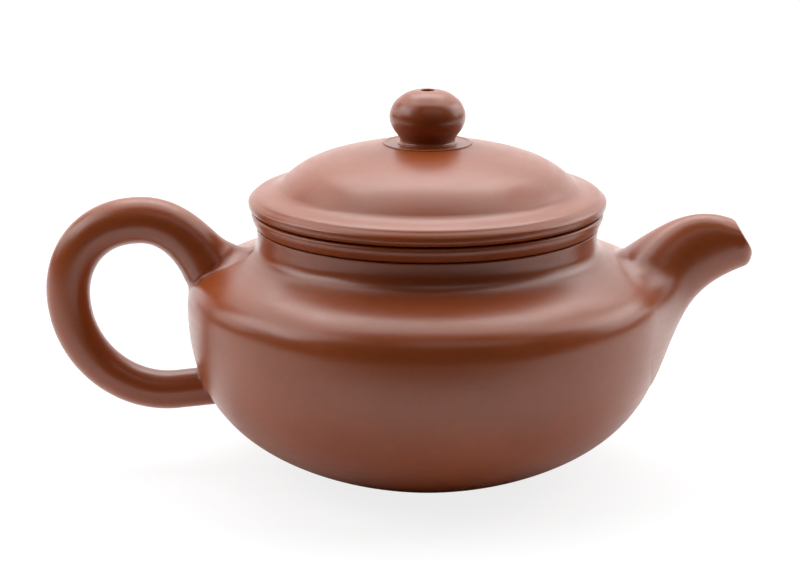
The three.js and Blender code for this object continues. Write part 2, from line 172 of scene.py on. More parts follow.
def clayMaterial(name):
    look, v = clayLook[name], clayPattern
    material = bpy.data.materials.new(name)
    material.use_nodes = True
    tree = material.node_tree
    tree.nodes.clear()
    where = tree.nodes.new("ShaderNodeTexCoord").outputs["Object"]

    def noise(scale, detail, vector=where):
        return addNode(tree, "ShaderNodeTexNoise", {
            "Vector": vector, "Scale": scale, "Detail": detail}).outputs["Fac"]

    def ramp(value, low, high):
        return addNode(tree, "ShaderNodeMapRange", {
            "Value": value, "From Min": low, "From Max": high}).outputs[0]

    def mix(amount, first, second):
        return addNode(tree, "ShaderNodeMix", {
            0: amount, 6: first, 7: second}, data_type="RGBA").outputs[2]

    cloud = ramp(noise(v["cloudScale"], 3), 0.34, 0.66)
    mottle = ramp(noise(v["mottleScale"], 2), 0.3, 0.7)
    tone = plus(tree, times(tree, cloud, v["cloudShare"]), times(tree, mottle, v["mottleShare"]))
    grains = noise(v["grainScale"], 1)
    colour = mix(tone, look["dark"], look["light"])
    paleGrains = times(tree, ramp(grains, 0.66, 0.74), v["grainStrength"])
    colour = mix(paleGrains, colour, look["grainPale"])
    darkGrains = times(tree, ramp(grains, 0.33, 0.26), v["grainStrength"])
    colour = mix(darkGrains, colour, look["grainDark"])

    # marks of the burnishing tool, drawn round the pot
    flat = addNode(tree, "ShaderNodeMapping", {
        "Vector": where, "Scale": (1, 1, v["strokeFlatness"])}).outputs[0]
    strokes = noise(v["strokeScale"], 3, flat)
    spread = look["roughnessSpread"]
    rough = plus(tree, times(tree, ramp(strokes, 0.35, 0.65), spread), look["roughness"] - spread / 2)

    height = plus(tree, times(tree, grains, 0.5), times(tree, noise(v["pitScale"], 2), 0.5))
    fine = addNode(tree, "ShaderNodeBump", {
        "Strength": look["bump"], "Distance": v["fineDepth"], "Height": height})
    broad = addNode(tree, "ShaderNodeBump", {
        "Strength": look["bump"], "Distance": v["strokeDepth"], "Height": strokes,
        "Normal": fine.outputs[0]})
    surface = addNode(tree, "ShaderNodeBsdfPrincipled", {
        "Base Color": colour, "Roughness": rough, "IOR": v["refraction"], "Normal": broad.outputs[0]})
    addNode(tree, "ShaderNodeOutputMaterial", {"Surface": surface.outputs[0]})
    return material


redClay = clayMaterial("red clay")
mattClay = clayMaterial("matt clay")
print("materials made")


# A piece turned from its outline: a grid is bent round the axis, one column for each step

def turnedTree():
    tree, given, result = treeWithInputs("turned clay", [
        ("Outline", "NodeSocketGeometry"), ("Steps", "NodeSocketInt"), ("Wobble", "NodeSocketFloat"),
        ("Wobble Size", "NodeSocketFloat"), ("Clay", "NodeSocketMaterial")])
    count = addNode(tree, "GeometryNodeAttributeDomainSize", {0: given["Outline"]}).outputs["Point Count"]
    grid = addNode(tree, "GeometryNodeMeshGrid", {
        "Vertices X": plus(tree, given["Steps"], 1), "Vertices Y": count})
    index = tree.nodes.new("GeometryNodeInputIndex").outputs[0]
    column = calculate(tree, "FLOOR", over(tree, index, count))
    row = minus(tree, index, times(tree, column, count))
    outline = addNode(tree, "GeometryNodeSampleIndex", {
        "Geometry": given["Outline"], "Value": tree.nodes.new("GeometryNodeInputPosition").outputs[0],
        "Index": row}, data_type="FLOAT_VECTOR")
    parts = addNode(tree, "ShaderNodeSeparateXYZ", {0: outline.outputs[0]})
    turn = over(tree, times(tree, column, math.tau), given["Steps"])
    cosine, sine = calculate(tree, "COSINE", turn), calculate(tree, "SINE", turn)

    def spot(radius):
        return addNode(tree, "ShaderNodeCombineXYZ", {
            0: times(tree, radius, cosine), 1: times(tree, radius, sine), 2: parts.outputs[2]}).outputs[0]

    unevenness = addNode(tree, "ShaderNodeTexNoise", {
        "Vector": spot(parts.outputs[0]), "Scale": given["Wobble Size"], "Detail": 0.0}).outputs["Fac"]
    share = times(tree, minus(tree, unevenness, 0.5), given["Wobble"])
    radius = times(tree, parts.outputs[0], plus(tree, share, 1))
    bent = addNode(tree, "GeometryNodeSetPosition", {
        "Geometry": grid.outputs["Mesh"], "Position": spot(radius)})
    joined = addNode(tree, "GeometryNodeMergeByDistance", {
        "Geometry": bent.outputs[0], "Distance": 0.002 * mm})
    smooth = addNode(tree, "GeometryNodeSetShadeSmooth", {0: joined.outputs[0]})
    whole = addNode(tree, "GeometryNodeRealizeInstances", {0: smooth.outputs[0]})
    painted = addNode(tree, "GeometryNodeSetMaterial", {0: whole.outputs[0], "Material": given["Clay"]})
    tree.links.new(painted.outputs[0], result.inputs[0])
    return tree


def addObject(name, mesh):
    piece = bpy.data.objects.new(name, mesh)
    scene.collection.objects.link(piece)
    return piece


def settle(piece, sharpDegrees=40):
    bpy.context.view_layer.update()
    graph = bpy.context.evaluated_depsgraph_get()
    mesh = bpy.data.meshes.new_from_object(piece.evaluated_get(graph))
    piece.modifiers.clear()
    piece.data = mesh
    mesh.set_sharp_from_angle(angle=math.radians(sharpDegrees))
    return piece


def setInputs(modifier, values):
    for item in modifier.node_group.interface.items_tree:
        if item.item_type == "SOCKET" and item.in_out == "INPUT" and item.name in values:
            modifier[item.identifier] = values[item.name]


turning = turnedTree()
turningValues = {"Steps": 192, "Wobble": 0.0016, "Wobble Size": 28.0}


def turned(name, outline, clay=None, steps=None):
    outline = np.array(outline, float)
    if outline[0, 0] > 0 or outline[-1, 0] > 0:
        outline = np.vstack([outline, outline[:1]])
    mesh = bpy.data.meshes.new(name)
    mesh.from_pydata([(r * mm, 0, z * mm) for r, z in outline], [], [])
    piece = addObject(name, mesh)
    modifier = piece.modifiers.new("turn", "NODES")
    modifier.node_group = turning
    values = {**turningValues, "Clay": clay or redClay}
    if steps:
        values["Steps"] = steps
    setInputs(modifier, values)
    return settle(piece)


def place(piece, body, node):
    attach(piece, body)
    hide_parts(node)
    return piece


# The pot's outside and inside, from the foot to the neck

potShape = {
    "footRadius": 22.6,
    "bellyAngle": 18.7,
    "bellyPull": 23.2,
    "bellyRadius": 51.15,
    "bellyHeight": 35.8,
    "sidePull": 17.4,
    "shoulderPull": 6.5,
    "shoulderSlope": 23.0,
    "discPull": 6.0,
    "discEdge": (39.65, 45.75),
    "coveOuterPull": 3.0,
    "coveInnerPull": 1.7,
    "neckFoot": (36.05, 49.85),
    "neckTop": (36.3, 52.62),
    "neckPulls": (0.8, 0.75),
    "neckEdge": (0.3, 0.15),
    "wall": 2.8,
    "wallFoot": 2.1,
    "mouthRadius": 31.0,
    "floor": 3.6,
    "discThickness": 3.3,
}


def potLines():
    v = potShape
    foot = (v["footRadius"], 0)
    side = (v["bellyRadius"], v["bellyHeight"])
    belly = bezier(foot, ahead(foot, v["bellyAngle"], v["bellyPull"]),
                   (side[0], side[1] - v["sidePull"]), side, 110)
    shoulder = bezier(side, (side[0], side[1] + v["shoulderPull"]),
                      ahead(v["discEdge"], -v["shoulderSlope"], v["discPull"]), v["discEdge"], 60)
    cove = bezier(v["discEdge"], ahead(v["discEdge"], 180 - v["shoulderSlope"], v["coveOuterPull"]),
                  (v["neckFoot"][0], v["neckFoot"][1] - v["coveInnerPull"]), v["neckFoot"], 30)
    return belly, shoulder, cove


bellyLine, shoulderLine, coveLine = potLines()


baseShape = {
    "ringWidth": 3.1,
    "ringTop": 2.15,
    "ringEdge": 0.5,
    "ringOuterEdge": 0.9,
    "recess": 0.6,
    "dish": 0.25,
    "dishRadii": (6, 12, 17),
    "gap": 0.05,
}


def basePieces():
    v = baseShape
    inner, edge = potShape["footRadius"] - v["ringWidth"], v["ringEdge"]
    foot = turned("footRing", np.vstack([
        [[inner, v["ringTop"]]],
        rounded((inner + edge, edge), edge, edge, 180, 270, 5),
        rounded((potShape["footRadius"] - 0.2, edge), v["ringOuterEdge"], edge, 270, 300, 4),
        between(bellyLine, edge, v["ringTop"])]))
    place(foot, "pot", "foot_ring")

    floor, rim = potShape["floor"], inner + v["gap"]
    recess, dish = v["recess"], v["dish"]
    near, middle, far = v["dishRadii"]
    base = turned("baseDisc", [
        [0, recess + dish], [near, recess + dish * 0.85], [middle, recess + dish * 0.4], [far, recess],
        [rim, recess], [rim, floor], [0, floor]], mattClay)
    place(base, "pot", "base_disc")


basePieces()
print("foot and base made")


strainerShape = {
    "height": 32.5,
    "radius": 8.2,
    "depth": 6.0,
    "wall": 1.6,
    "rows": 3,
    "rowHoles": 6,
    "spread": 62.0,
    "holeRadius": 0.72,
    "drillLength": 6.0,
    "sleeve": 2.6,
    "clearance": 0.12,
}


def cutter(name, radius, start, end, height):
    turn = np.linspace(0, math.tau, 65)[:-1]
    count = len(turn)

    def circle(x):
        return [(x * mm, radius * math.cos(a) * mm, (height + radius * math.sin(a)) * mm) for a in turn]

    faces = [list(range(count))[::-1], list(range(count, 2 * count))]
    faces += [(i, (i + 1) % count, count + (i + 1) % count, count + i) for i in range(count)]
    mesh = bpy.data.meshes.new(name)
    mesh.from_pydata(circle(start) + circle(end), [], faces)
    return addObject(name, mesh)


def cutAway(piece, tool):
    modifier = piece.modifiers.new("cut", "BOOLEAN")
    modifier.operation = "DIFFERENCE"
    modifier.solver = "EXACT"
    modifier.object = tool
    settle(piece)
    bpy.data.objects.remove(tool)
    return piece


def bodyPieces():
    v = potShape
    foot = v["wallFoot"]
    outside = np.vstack([between(bellyLine, foot, v["bellyHeight"]), shoulderLine[1:]])
    inside = sideways(outside, v["wall"])
    inside = inside[inside[:, 1] > v["floor"] + 0.4]
    inner = v["footRadius"] - baseShape["ringWidth"]
    wall = turned("bellyWall", np.vstack([[[inner, foot]], outside, inside[::-1], [[inner, v["floor"]]]]))
    hole = cutter("hole", strainerShape["radius"] + strainerShape["clearance"],
                  v["bellyRadius"] - 12, v["bellyRadius"] + 6, strainerShape["height"])
    wall = cutAway(wall, hole)
    place(wall, "pot", "belly_wall")

    lowEdge = ahead(v["discEdge"], -90 - v["shoulderSlope"], v["wall"])
    mouth, top = v["mouthRadius"], coveLine[-1, 1]
    disc = turned("closingDisc", np.vstack([
        [[mouth, top - v["discThickness"]]], [lowEdge], coveLine, [[mouth, top]]]))
    place(disc, "pot", "closing_disc")

    (neckRadius, neckTop), (edgeWidth, edgeHeight) = v["neckTop"], v["neckEdge"]
    lowPull, highPull = v["neckPulls"]
    edgeFoot = neckTop - edgeHeight
    neck = turned("neckRing", np.vstack([
        [[mouth, top - 0.02]], [[v["neckFoot"][0], top - 0.02]],
        bezier(v["neckFoot"], (v["neckFoot"][0], top + lowPull),
               (neckRadius - 0.1, edgeFoot - highPull), (neckRadius, edgeFoot), 12),
        rounded((neckRadius - edgeWidth, edgeFoot), edgeWidth, edgeHeight, 0, 90, 4),
        [[mouth, neckTop]]]))
    place(neck, "pot", "neck_ring")


bodyPieces()
print("belly, closing disc and neck made")


mouthShape = {
    "foot": 52.9,
    "top": 55.9,
    "footRadius": 36.65,
    "topRadius": 37.3,
    "lowRound": 0.55,
    "highRound": 0.6,
    "innerRound": 0.4,
    "lowPull": (0.25, 0.6),
    "highPull": (0.12, -0.7),
    "step": (1.2, 0.35),
}


def mouthPiece():
    v = mouthShape
    inner, foot, top = potShape["mouthRadius"], v["foot"], v["top"]
    lowRound, highRound, innerRound = v["lowRound"], v["highRound"], v["innerRound"]
    low = rounded((v["footRadius"] - lowRound, foot + lowRound), lowRound, lowRound, -90, -20, 7)
    high = rounded((v["topRadius"] - highRound, top - highRound), highRound, highRound, 15, 90, 7)
    side = bezier(low[-1], low[-1] + v["lowPull"], high[0] + v["highPull"], high[0], 10)[1:-1]
    stepRadius, stepFoot = v["footRadius"] - v["step"][0], foot - v["step"][1]
    bead = turned("mouthLine", np.vstack([
        [[inner, stepFoot]], [[stepRadius, stepFoot]], [[stepRadius, foot]], low, side, high,
        rounded((inner + innerRound, top - innerRound), innerRound, innerRound, 90, 180, 5)]))
    place(bead, "pot", "mouth_line")


mouthPiece()
print("mouth line made")


# The half ball strainer: its wall is turned, then drilled on rings of evenly spaced points

def strainerTree():
    tree, given, result = treeWithInputs("drilled strainer", [
        ("Shell", "NodeSocketGeometry"), ("Rows", "NodeSocketInt"), ("Holes per Row", "NodeSocketInt"),
        ("Spread", "NodeSocketFloat"), ("Radius", "NodeSocketFloat"), ("Depth", "NodeSocketFloat"),
        ("Hole Radius", "NodeSocketFloat"), ("Drill Length", "NodeSocketFloat"),
        ("Clay", "NodeSocketMaterial")])
    rows, ring = given["Rows"], given["Holes per Row"]
    pairs = times(tree, times(tree, rows, plus(tree, rows, 1)), 0.5)
    total = plus(tree, times(tree, pairs, ring), 1)
    points = addNode(tree, "GeometryNodePoints", {"Count": total})
    index = tree.nodes.new("GeometryNodeInputIndex").outputs[0]
    # row r starts after 1 + holes * r * (r - 1) / 2 holes
    share = over(tree, times(tree, minus(tree, index, 1), 8), ring)
    root = calculate(tree, "SQRT", plus(tree, calculate(tree, "MAXIMUM", share, 0), 1))
    row = calculate(tree, "FLOOR", times(tree, plus(tree, root, 1.0001), 0.5))
    row = times(tree, row, calculate(tree, "GREATER_THAN", index, 0.5))
    before = times(tree, times(tree, row, minus(tree, row, 1)), 0.5)
    order = minus(tree, minus(tree, index, 1), times(tree, before, ring))
    many = calculate(tree, "MAXIMUM", times(tree, row, ring), 1)
    turn = times(tree, over(tree, order, many), math.tau)
    lean = calculate(tree, "RADIANS", over(tree, times(tree, row, given["Spread"]), rows))
    away = times(tree, calculate(tree, "SINE", lean), given["Radius"])
    spot = addNode(tree, "ShaderNodeCombineXYZ", {
        0: times(tree, away, calculate(tree, "COSINE", turn)),
        1: times(tree, away, calculate(tree, "SINE", turn)),
        2: times(tree, calculate(tree, "COSINE", lean), given["Depth"])}).outputs[0]
    turnBy = addNode(tree, "ShaderNodeCombineXYZ", {1: lean, 2: turn}).outputs[0]
    spread = addNode(tree, "GeometryNodeSetPosition", {"Geometry": points.outputs[0], "Position": spot})
    drill = addNode(tree, "GeometryNodeMeshCylinder", {
        "Vertices": 14, "Radius": given["Hole Radius"], "Depth": given["Drill Length"]})
    drills = addNode(tree, "GeometryNodeInstanceOnPoints", {
        "Points": spread.outputs[0], "Instance": drill.outputs["Mesh"], "Rotation": turnBy})
    solidDrills = addNode(tree, "GeometryNodeRealizeInstances", {0: drills.outputs[0]})
    drilled = addNode(tree, "GeometryNodeMeshBoolean", {
        "Mesh 1": given["Shell"], "Mesh 2": solidDrills.outputs[0]},
        operation="DIFFERENCE", solver="EXACT")
    whole = addNode(tree, "GeometryNodeRealizeInstances", {0: drilled.outputs[0]})
    painted = addNode(tree, "GeometryNodeSetMaterial", {0: whole.outputs[0], "Material": given["Clay"]})
    tree.links.new(painted.outputs[0], result.inputs[0])
    return tree


def strainerPiece():
    v = strainerShape
    inner, sleeve = v["radius"] - v["wall"], -v["sleeve"]
    shell = turned("ballStrainer", np.vstack([
        rounded((0, 0), inner, v["depth"] - v["wall"], 90, 0, 14),
        [[inner, sleeve]], [[v["radius"], sleeve]],
        rounded((0, 0), v["radius"], v["depth"], 0, 90, 18)]), mattClay, 72)
    modifier = shell.modifiers.new("drill", "NODES")
    modifier.node_group = strainerTree()
    setInputs(modifier, {
        "Rows": v["rows"], "Holes per Row": v["rowHoles"], "Spread": v["spread"],
        "Radius": (v["radius"] - v["wall"] / 2) * mm, "Depth": (v["depth"] - v["wall"] / 2) * mm,
        "Hole Radius": v["holeRadius"] * mm, "Drill Length": v["drillLength"] * mm, "Clay": mattClay})
    settle(shell)
    spots = np.array([vertex.co for vertex in shell.data.vertices])
    wall = potShape["bellyRadius"] - potShape["wall"]
    turnedSpots = np.stack([wall * mm - spots[:, 2], spots[:, 1], v["height"] * mm + spots[:, 0]], 1)
    shell.data.vertices.foreach_set("co", turnedSpots.astype(np.float32).ravel())
    shell.data.update()
    place(shell, "pot", "ball_strainer")


strainerPiece()
print("strainer made")


# Distance from the pot's outside, read from a table of radius and height

bodyTable = {
    "step": 0.25,
    "radius": (20.0, 80.0),
    "height": (-2.0, 62.0),
    "overTheNeck": [(37.3, 56), (37.9, 60)],
}


def measureBody():
    line = np.vstack([
        bellyLine, shoulderLine[1:], coveLine[1:], [potShape["neckTop"]], bodyTable["overTheNeck"]])
    radii = np.arange(*bodyTable["radius"], bodyTable["step"])
    heights = np.arange(*bodyTable["height"], bodyTable["step"])
    spots = np.stack(np.meshgrid(radii, heights, indexing="ij"), -1).reshape(-1, 2)
    start, run = line[:-1], np.diff(line, axis=0)
    best = np.full(len(spots), 1e9)
    signed = np.zeros(len(spots))
    for a, d in zip(start, run):
        t = np.clip(((spots - a) @ d) / (d @ d), 0, 1)
        gap = spots - a - t[:, None] * d
        distance = np.hypot(gap[:, 0], gap[:, 1])
        side = np.sign(d[1] * gap[:, 0] - d[0] * gap[:, 1])
        nearer = distance < best - 1e-9
        best[nearer] = distance[nearer]
        signed[nearer] = (side * distance)[nearer]
    return signed.reshape(len(radii), len(heights))


bodyDistances = measureBody()


def outsideBody(points):
    step = bodyTable["step"]
    u = (np.hypot(points[..., 0], points[..., 1]) - bodyTable["radius"][0]) / step
    w = (points[..., 2] - bodyTable["height"][0]) / step
    i = np.clip(u.astype(int), 0, bodyDistances.shape[0] - 2)
    j = np.clip(w.astype(int), 0, bodyDistances.shape[1] - 2)
    a, b = np.clip(u - i, 0, 1), np.clip(w - j, 0, 1)
    return ((1 - a) * (1 - b) * bodyDistances[i, j] + a * (1 - b) * bodyDistances[i + 1, j]
            + (1 - a) * b * bodyDistances[i, j + 1] + a * b * bodyDistances[i + 1, j + 1])


def smoothLeast(a, b, blend):
    h = np.maximum(blend - np.abs(a - b), 0) / blend
    return np.minimum(a, b) - h * h * blend / 4


def bodyNormals(spots, nudge=0.05):
    slope = np.stack([outsideBody(spots + way) - outsideBody(spots - way)
                      for way in np.eye(3) * nudge], -1) / (2 * nudge)
    return slope / np.maximum(np.linalg.norm(slope, axis=-1), 0.2)[..., None]


def ringNormals(rings, centres):
    along = np.gradient(rings, axis=0)
    around = np.roll(rings, -1, 1) - np.roll(rings, 1, 1)
    across = np.cross(along, around)
    across *= np.sign(np.sum(across * (rings - centres), -1))[..., None]
    return across / np.maximum(np.linalg.norm(across, axis=-1), 1e-9)[..., None]


# Grows rings into a fillet where they meet the pot, and gives the normals of the joined surface
def joinToBody(centres, spokes, blend, depth):
    reach = np.linalg.norm(spokes, axis=-1)
    way = spokes / reach[..., None]

    def at(distance):
        return centres + way * distance[..., None]

    def isOut(distance):
        return smoothLeast(outsideBody(at(distance)), distance - reach, blend) > 0

    tries = np.linspace(0, 1, 33)
    found = np.stack([isOut(reach + blend * share) for share in tries])
    joins, first = found.any(0), found.argmax(0)
    high = reach + blend * tries[first]
    low = reach + blend * tries[np.maximum(first - 1, 0)]
    for _ in range(20):
        middle = (low + high) / 2
        beyond = isOut(middle)
        high, low = np.where(beyond, middle, high), np.where(beyond, low, middle)
    spots = at(np.where(joins, high, reach + blend))
    fromBody, fromRing = outsideBody(spots), np.linalg.norm(spots - centres, axis=-1) - reach
    mixed = np.maximum(blend - np.abs(fromBody - fromRing), 0) / blend / 2
    share = np.where(joins, np.where(fromBody < fromRing, 1 - mixed, mixed), 1)[..., None]
    normals = share * bodyNormals(spots) + (1 - share) * ringNormals(centres + spokes, centres)
    normals /= np.linalg.norm(normals, axis=-1)[..., None]
    for _ in range(6):    # what lies deep in the pot comes up to just under the wall's face
        sunk = np.minimum(outsideBody(spots) + depth, 0)
        spots = spots - bodyNormals(spots) * sunk[..., None]
    return spots, normals


def skin(name, rings, normals, wraps, clay):
    count, sides = rings.shape[:2]
    spots = list(map(tuple, (rings.reshape(-1, 3) * mm)))
    faces = []
    for i in range(count if wraps else count - 1):
        here, there = i * sides, ((i + 1) % count) * sides
        for j in range(sides):
            after = (j + 1) % sides
            faces.append((here + j, here + after, there + after, there + j))
    if not wraps:
        faces += [list(range(sides))[::-1], list(range((count - 1) * sides, count * sides))]
    mesh = bpy.data.meshes.new(name)
    mesh.from_pydata(spots, [], faces)
    piece = addObject(name, mesh)
    corners = np.array(rings.reshape(-1, 3))
    volume = 0.0
    for face in faces:
        for k in range(1, len(face) - 1):
            volume += np.dot(corners[face[0]], np.cross(corners[face[k]], corners[face[k + 1]]))
    if volume < 0:
        mesh.flip_normals()
    mesh.polygons.foreach_set("use_smooth", [True] * len(mesh.polygons))
    mesh.set_sharp_from_angle(angle=math.radians(50))
    if normals is not None:
        given = np.zeros((len(spots), 3))
        given[:normals.shape[0] * sides] = normals.reshape(-1, 3)
        mesh.normals_split_custom_set_from_vertices([tuple(n) for n in given])
    mesh.materials.append(clay)
    return piece


handleShape = {
    "upperRoot": (-46.85, 43.95),
    "upperAngle": 126.5,
    "upperPull": 5.7,
    "top": (-60.85, 53.25),
    "topPulls": (6.5, 10.9),
    "outermost": (-76.85, 37.4),
    "sidePulls": (7.7, 13.2),
    "low": (-53.95, 15.8),
    "lowRise": 6.3,
    "lowPull": 12.0,
    "buried": (7.0, 12.0),
    "buriedPulls": ((4, 2), (3, 6)),
    "thickness": (9.9, 8.3),
    "thinning": (0.25, 0.9),
    "flare": 2.4,
    "flareLength": 4.4,
    "blendTop": 6.0,
    "blendFade": 5.0,
    "blendSide": 1.2,
    "blendUnder": 1.6,
    "blendLow": 1.3,
    "lowShares": (0.45, 0.6),
    "sunk": 1.0,
    "sides": 72,
    "rings": 230,
}
leastBlend = 0.01


def crossSpokes(middle, half, width, sides):
    turn = np.linspace(0, math.tau, sides + 1)[:-1]
    spokes = np.zeros((len(middle), sides, 3))
    spokes[..., 0] = half[:, None, 0] * np.cos(turn)
    spokes[..., 1] = width[:, None] / 2 * np.sin(turn)
    spokes[..., 2] = half[:, None, 1] * np.cos(turn)
    centres = np.zeros((len(middle), 1, 3))
    centres[:, 0, 0], centres[:, 0, 2] = middle[:, 0], middle[:, 1]
    return centres, spokes, turn


def handlePiece():
    v = handleShape
    root, top, outer, low = v["upperRoot"], v["top"], v["outermost"], v["low"]
    angle, rise = v["upperAngle"], v["lowRise"]
    (highBack, highFront), (lowBack, lowFront) = v["buriedPulls"]
    line = np.vstack([
        bezier(ahead(root, angle, -v["buried"][0]), ahead(root, angle, -highBack),
               ahead(root, angle, -highFront), root, 30)[:-1],
        bezier(root, ahead(root, angle, v["upperPull"]),
               (top[0] + v["topPulls"][0], top[1]), top, 60)[:-1],
        bezier(top, (top[0] - v["topPulls"][1], top[1]),
               (outer[0], outer[1] + v["sidePulls"][0]), outer, 60)[:-1],
        bezier(outer, (outer[0], outer[1] - v["sidePulls"][1]),
               ahead(low, rise, -v["lowPull"]), low, 80)[:-1],
        bezier(low, ahead(low, rise, lowBack),
               ahead(low, rise, lowFront), ahead(low, rise, v["buried"][1]), 30)])
    walked = np.r_[0, np.cumsum(np.linalg.norm(np.diff(line, axis=0), axis=1))]
    spots = np.linspace(0, walked[-1], v["rings"])
    middle = np.stack([np.interp(spots, walked, line[:, k]) for k in (0, 1)], 1)
    run = np.gradient(middle, axis=0)
    run /= np.linalg.norm(run, axis=1)[:, None]
    share = spots / walked[-1]
    thickRoot, thickEnd = v["thickness"]
    thick = thickRoot + (thickEnd - thickRoot) * smoothStep(*v["thinning"], share)
    thick = thick + v["flare"] * np.exp(-np.maximum(spots - v["buried"][0], 0) / v["flareLength"])
    half = np.stack([-run[:, 1], run[:, 0]], 1) * thick[:, None] / 2
    centres, spokes, turn = crossSpokes(middle, half, thick, v["sides"])
    below = np.maximum(np.cos(turn), 0) ** 2
    above = np.maximum(-np.cos(turn), 0) ** 2
    side = v["blendSide"]
    upper = side + (v["blendTop"] - side) * above + (v["blendUnder"] - side) * below
    nearLow = smoothStep(*v["lowShares"], share)[:, None]
    blend = upper[None, :] * (1 - nearLow) + v["blendLow"] * nearLow
    fade = smoothStep(0.0, v["blendFade"], spots)[:, None]
    blend = blend * (leastBlend + (1 - leastBlend) * fade)
    rings, normals = joinToBody(centres, spokes, blend, v["sunk"])
    place(skin("loopHandle", rings, normals, False, redClay), "pot", "handle")


handlePiece()
print("handle made")


spoutShape = {
    "lip": (69.25, 46.85),
    "mouth": 7.5,
    "mouthLean": 59.0,
    "lipRound": 3.6,
    "lipSetback": 1.75,
    "rootLow": 19.0,
    "underAngle": 56.0,
    "underPull": 12.8,
    "tipAngle": 21.4,
    "tipPull": 15.5,
    "rootHigh": (42.45, 46.8),
    "topAngle": 37.2,
    "topPull": 9.5,
    "browAngle": 22.0,
    "browPull": 9.6,
    "neckShare": 0.86,
    "widths": (31.0, 9.8, 8.6),
    "widthPower": 2.2,
    "walls": (3.0, 0.85),
    "buried": (-4.0, -2.0),
    "backRings": 16,
    "blendTop": 1.0,
    "blendSide": 7.0,
    "blendUnder": 1.5,
    "sunk": 0.6,
    "curveSteps": 400,
    "sides": 72,
    "rings": 120,
    "lipRings": 22,
    "lipTurns": (30, 60, 90, 120, 150),
}


# Points of a curve at shares of its steps
def pick(line, share):
    steps = len(line) - 1
    return np.stack([np.interp(share * steps, np.arange(steps + 1), line[:, k]) for k in (0, 1)], 1)


def spoutPiece():
    v = spoutShape
    lip = np.array(v["lip"])
    brow = ahead(lip, 180 - v["mouthLean"], v["mouth"])
    underLip = (lip[0] - v["lipSetback"], lip[1] - v["lipRound"])
    rootLow = (float(np.interp(v["rootLow"], bellyLine[:, 1], bellyLine[:, 0])), v["rootLow"])
    steps = v["curveSteps"]
    under = bezier(rootLow, ahead(rootLow, v["underAngle"], v["underPull"]),
                   ahead(underLip, v["tipAngle"], -v["tipPull"]), underLip, steps)
    top = bezier(v["rootHigh"], ahead(v["rootHigh"], v["topAngle"], v["topPull"]),
                 ahead(brow, 180 - v["browAngle"], v["browPull"]), brow, steps)
    turnPoint = ahead(underLip, v["tipAngle"], v["lipSetback"])
    t = np.linspace(0, 1, steps + 1)[:, None]
    lipLine = (1 - t) ** 2 * np.array(underLip) + 2 * t * (1 - t) * np.array(turnPoint) + t * t * lip
    share = np.linspace(0, 1, v["rings"])
    lipShare = np.linspace(0, 1, v["lipRings"])[1:]
    low = np.vstack([pick(under, share), pick(lipLine, lipShare)])
    neckShare = v["neckShare"]
    high = np.vstack([pick(top, share * neckShare), pick(top, neckShare + lipShare * (1 - neckShare))])
    rootWidth, neckWidth, lipWidth = v["widths"]
    width = np.r_[neckWidth + (rootWidth - neckWidth) * (1 - share) ** v["widthPower"],
                  neckWidth + (lipWidth - neckWidth) * lipShare ** 2]
    rootWall, lipWall = v["walls"]
    wall = np.r_[rootWall + (lipWall - rootWall) * share, np.full(len(lipShare), lipWall)]

    backShare = np.linspace(1, 0, v["backRings"] + 1)[:-1, None]
    low = np.vstack([low[:1] + backShare * v["buried"], low])
    high = np.vstack([high[:1] + backShare * v["buried"], high])
    width = np.r_[np.full(v["backRings"], width[0]), width]
    wall = np.r_[np.full(v["backRings"], wall[0]), wall]
    fade = np.zeros((len(width), 1))
    fade[:v["backRings"]] = smoothStep(0.0, 1.0, backShare)
    middle, half = (low + high) / 2, (high - low) / 2
    centres, spokes, turn = crossSpokes(middle, half, width, v["sides"])
    up, down = np.maximum(np.cos(turn), 0) ** 2, np.maximum(-np.cos(turn), 0) ** 2
    side = v["blendSide"]
    blend = side + (v["blendTop"] - side) * up + (v["blendUnder"] - side) * down
    blend = blend * (1 - (1 - leastBlend) * fade)
    outer, normals = joinToBody(centres, spokes, blend, v["sunk"])

    length = np.linalg.norm(half, axis=1)
    innerSpokes = spokes.copy()
    shrink = (1 - wall / length)[:, None]
    innerSpokes[..., 0] *= shrink
    innerSpokes[..., 2] *= shrink
    innerSpokes[..., 1] *= (1 - 2 * wall / width)[:, None]
    inner = centres + innerSpokes
    sunk = outsideBody(inner) < -v["sunk"]
    clamped = joinToBody(centres, innerSpokes, np.full(spokes.shape[:2], leastBlend), v["sunk"])[0]
    inner = np.where(sunk[..., None], clamped, inner)

    edge = lipWall / 2
    lean = math.radians(v["mouthLean"])
    out = np.array([math.sin(lean), 0, math.cos(lean)])
    lips = []
    for degrees in v["lipTurns"]:
        inset = edge * (1 - math.cos(math.radians(degrees)))
        ring = centres[-1] + spokes[-1] * (1 - inset / np.linalg.norm(spokes[-1], axis=-1))[:, None]
        lips.append(ring + out * (math.sin(math.radians(degrees)) - 1) * edge * 0.9)
    outer, inner = outer[:-2], inner[:-2]
    rings = np.concatenate([outer, np.array(lips), inner[::-1]])
    place(skin("curvedSpout", rings, normals[:-2], True, redClay), "pot", "spout")


spoutPiece()
print("spout made")


